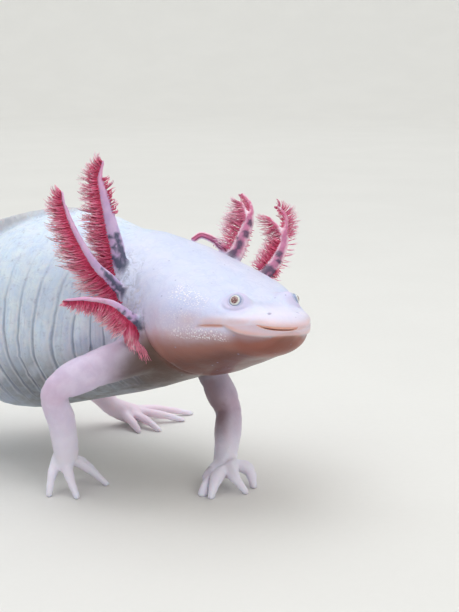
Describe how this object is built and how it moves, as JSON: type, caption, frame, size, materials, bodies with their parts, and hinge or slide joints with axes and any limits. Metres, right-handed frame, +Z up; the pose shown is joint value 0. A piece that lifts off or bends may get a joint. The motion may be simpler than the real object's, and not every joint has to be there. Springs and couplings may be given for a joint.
{
  "type": "axolotl",
  "caption": "Life-size still axolotl, pale leucistic form, standing on all fours with head raised and turned, feathery gills spread, finned tail laid on the floor.",
  "frame": {"origin": "centre of the bounding box at floor level, under the trunk", "axes": "+Z up; the trunk faces -Y with the head turned towards -X; the animal's left side is +X; the tail runs to +Y and bends to -X"},
  "size_m": [0.1506, 0.2334, 0.1136],
  "materials": {
    "body_skin": "moist satin skin, pale lavender grey",
    "limb_skin": "moist satin skin, pink lilac",
    "gill_stalk": "moist satin skin, lilac pink with dark blotches",
    "gill_fringe": "fine crimson filaments",
    "fin": "thin translucent grey beige skin",
    "eye": "wet glossy eye, pale iris ring round a red brown pupil"
  },
  "bodies": {
    "root": {"eye_left": "eye", "eye_right": "eye", "fin_back": "fin", "fin_tail_lower_front": "fin", "fin_tail_lower_rear": "fin", "fin_tail_upper_front": "fin", "fin_tail_upper_rear": "fin", "foot_left": "limb_skin", "foot_right": "limb_skin", "forearm_left": "limb_skin", "forearm_right": "limb_skin", "gill_fringe_left_lower": "gill_fringe", "gill_fringe_left_lower_front": "gill_fringe", "gill_fringe_left_middle": "gill_fringe", "gill_fringe_left_upper": "gill_fringe", "gill_fringe_right_lower": "gill_fringe", "gill_fringe_right_middle": "gill_fringe", "gill_fringe_right_upper": "gill_fringe", "gill_stalk_left_lower": "gill_stalk", "gill_stalk_left_middle": "gill_stalk", "gill_stalk_left_upper": "gill_stalk", "gill_stalk_right_lower": "gill_stalk", "gill_stalk_right_middle": "gill_stalk", "gill_stalk_right_upper": "gill_stalk", "hand_left": "limb_skin", "hand_right": "limb_skin", "head": "body_skin", "neck": "body_skin", "shin_left": "limb_skin", "shin_right": "limb_skin", "tail_base": "body_skin", "tail_end": "body_skin", "tail_middle": "body_skin", "thigh_left": "limb_skin", "thigh_right": "limb_skin", "trunk_front": "body_skin", "trunk_middle": "body_skin", "trunk_rear": "body_skin", "upper_arm_left": "limb_skin", "upper_arm_right": "limb_skin"}
  },
  "joints": []
}
